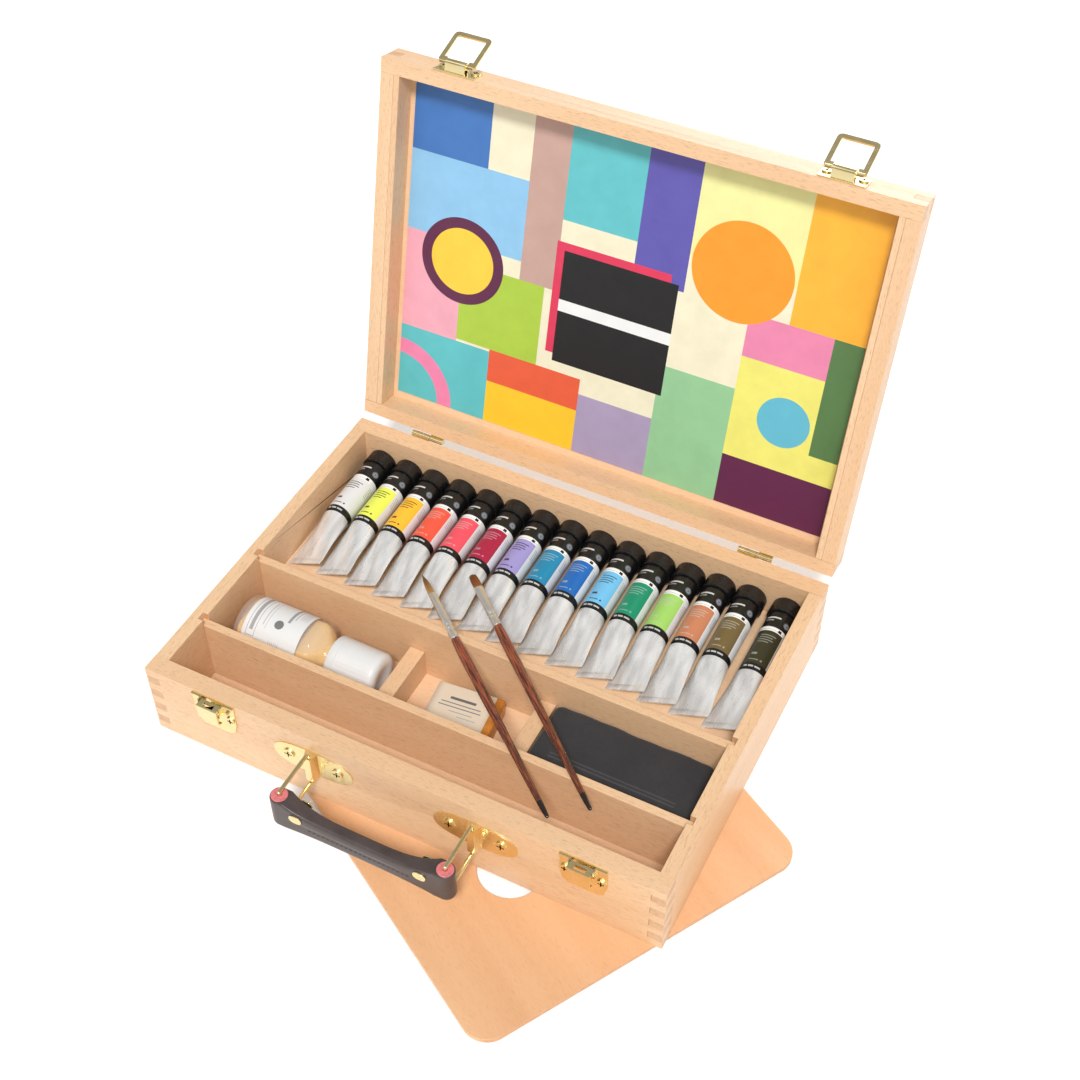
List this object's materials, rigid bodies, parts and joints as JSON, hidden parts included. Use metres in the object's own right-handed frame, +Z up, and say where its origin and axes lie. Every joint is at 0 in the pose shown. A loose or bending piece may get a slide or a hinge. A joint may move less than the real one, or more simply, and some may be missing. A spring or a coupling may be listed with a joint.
{
  "type": "gouache paint set box",
  "caption": "Open wooden case for gouache colours with hinged lid, folding handle, catches, paint tubes, brushes, bottle, soap, pouch and a loose palette.",
  "frame": {"origin": "on the palette's underside below the centre of the case, where the set rests on a table", "axes": "+X to the right seen from the handle side, +Y to the hinges, +Z up"},
  "size_m": [0.4282, 0.4806, 0.3534],
  "materials": {
    "beech": "satin clear coat",
    "board": "satin plywood",
    "palette_ply": "varnished plywood",
    "card": "printed card",
    "brass_plate": "polished",
    "steel_screw": "polished",
    "leather": "dark stitched leather",
    "core": "dyed cut edge",
    "tube_metal": "satin with printed bands",
    "black_plastic": "ribbed",
    "glass": "clear with amber medium",
    "white_plastic": "fine ribs",
    "soap_bar": "amber bar under a paper label",
    "cloth": "black felt",
    "lacquer": "glossy red-brown lacquer",
    "ferrule": "polished",
    "hair": "brush hair"
  },
  "bodies": {
    "base": {"base_front": "beech", "base_back": "beech", "base_left": "beech", "base_right": "beech", "base_floor": "board", "tube_floor": "board", "divider_rear": "board", "divider_front": "board", "cross_dividers": "board", "hinge_base_leaves": "brass_plate", "pins": "steel_screw", "catch_plates": "brass_plate", "handle_brackets": "brass_plate", "base_screws": "steel_screw"},
    "lid": {"lid_front": "beech", "lid_back": "beech", "lid_left": "beech", "lid_right": "beech", "lid_panel": "board", "lid_card": "card", "lid_strips": "beech", "hinge_lid_leaves": "brass_plate", "lid_catch_brackets": "brass_plate", "lid_screws": "steel_screw"},
    "ring_left": {"ring_left": "brass_plate"},
    "ring_right": {"ring_right": "brass_plate"},
    "lever_left": {"lever_left": "brass_plate"},
    "lever_right": {"lever_right": "brass_plate"},
    "bail_left": {"bail_left": "brass_plate"},
    "bail_right": {"bail_right": "brass_plate"},
    "grip": {"grip": "leather", "grip_cores": "core", "grip_rivets": "brass_plate"},
    "tubes": {"tube_01": "tube_metal", "tube_02": "tube_metal", "tube_03": "tube_metal", "tube_04": "tube_metal", "tube_05": "tube_metal", "tube_06": "tube_metal", "tube_07": "tube_metal", "tube_08": "tube_metal", "tube_09": "tube_metal", "tube_10": "tube_metal", "tube_11": "tube_metal", "tube_12": "tube_metal", "tube_13": "tube_metal", "tube_14": "tube_metal", "tube_15": "tube_metal", "tube_caps": "black_plastic"},
    "brush_1": {"brush_1_handle": "lacquer", "brush_1_ferrule": "ferrule", "brush_1_hair": "hair"},
    "brush_2": {"brush_2_handle": "lacquer", "brush_2_ferrule": "ferrule", "brush_2_hair": "hair"},
    "bottle": {"bottle_glass": "glass"},
    "bottle_cap": {"bottle_cap": "white_plastic"},
    "soap": {"soap": "soap_bar"},
    "pouch": {"pouch": "cloth"},
    "palette": {"palette": "palette_ply"}
  },
  "joints": [
    {"name": "lid_hinge", "type": "hinge", "parent": "base", "child": "lid", "pos_m": [0, 0.142, 0.067], "axis": [-1, 0, 0], "range_deg": [-103, 0]},
    {"name": "ring_left_swing", "type": "hinge", "parent": "lid", "child": "ring_left", "pos_m": [-0.1353, 0.21163, 0.34547], "axis": [-1, 0, 0], "range_deg": [-156, 18]},
    {"name": "ring_right_swing", "type": "hinge", "parent": "lid", "child": "ring_right", "pos_m": [0.1353, 0.21163, 0.34547], "axis": [-1, 0, 0], "range_deg": [-156, 18]},
    {"name": "lever_left_flip", "type": "hinge", "parent": "base", "child": "lever_left", "pos_m": [-0.1353, -0.142, 0.0625], "axis": [-1, 0, 0], "range_deg": [0, 80]},
    {"name": "lever_right_flip", "type": "hinge", "parent": "base", "child": "lever_right", "pos_m": [0.1353, -0.142, 0.0625], "axis": [-1, 0, 0], "range_deg": [0, 80]},
    {"name": "bail_left_swing", "type": "hinge", "parent": "base", "child": "bail_left", "pos_m": [-0.06, -0.1425, 0.0425], "axis": [0, 0, 1], "range_deg": [-60, 60]},
    {"name": "grip_swing", "type": "hinge", "parent": "bail_left", "child": "grip", "pos_m": [-0.06, -0.1765, 0.0425], "axis": [0, 0, 1], "range_deg": [-60, 60]},
    {"name": "bail_right_swing", "type": "hinge", "parent": "base", "child": "bail_right", "pos_m": [0.06, -0.1425, 0.0425], "axis": [0, 0, 1], "range_deg": [-60, 60]},
    {"name": "tubes_lift", "type": "slide", "parent": "base", "child": "tubes", "axis": [0, 0, 1], "range_m": [0, 0.06]},
    {"name": "brush_1_lift", "type": "slide", "parent": "tubes", "child": "brush_1", "axis": [0, 0, 1], "range_m": [0, 0.06]},
    {"name": "brush_2_lift", "type": "slide", "parent": "tubes", "child": "brush_2", "axis": [0, 0, 1], "range_m": [0, 0.06]},
    {"name": "bottle_lift", "type": "slide", "parent": "base", "child": "bottle", "axis": [0, 0, 1], "range_m": [0, 0.08]},
    {"name": "bottle_cap_turn", "type": "hinge", "parent": "bottle", "child": "bottle_cap", "pos_m": [-0.099, -0.051, 0.0315], "axis": [1, 0, 0], "range_deg": [0, 360]},
    {"name": "soap_lift", "type": "slide", "parent": "base", "child": "soap", "axis": [0, 0, 1], "range_m": [0, 0.026]},
    {"name": "pouch_lift", "type": "slide", "parent": "base", "child": "pouch", "axis": [0, 0, 1], "range_m": [0, 0.015]},
    {"name": "palette_slide", "type": "slide", "parent": "base", "child": "palette", "axis": [0.8643, -0.503, 0], "range_m": [0, 0.25]}
  ],
  "couplings": [
    {"joint": "grip_swing", "follows": "bail_left_swing", "ratio": -1},
    {"joint": "bail_right_swing", "follows": "bail_left_swing", "ratio": 1}
  ]
}
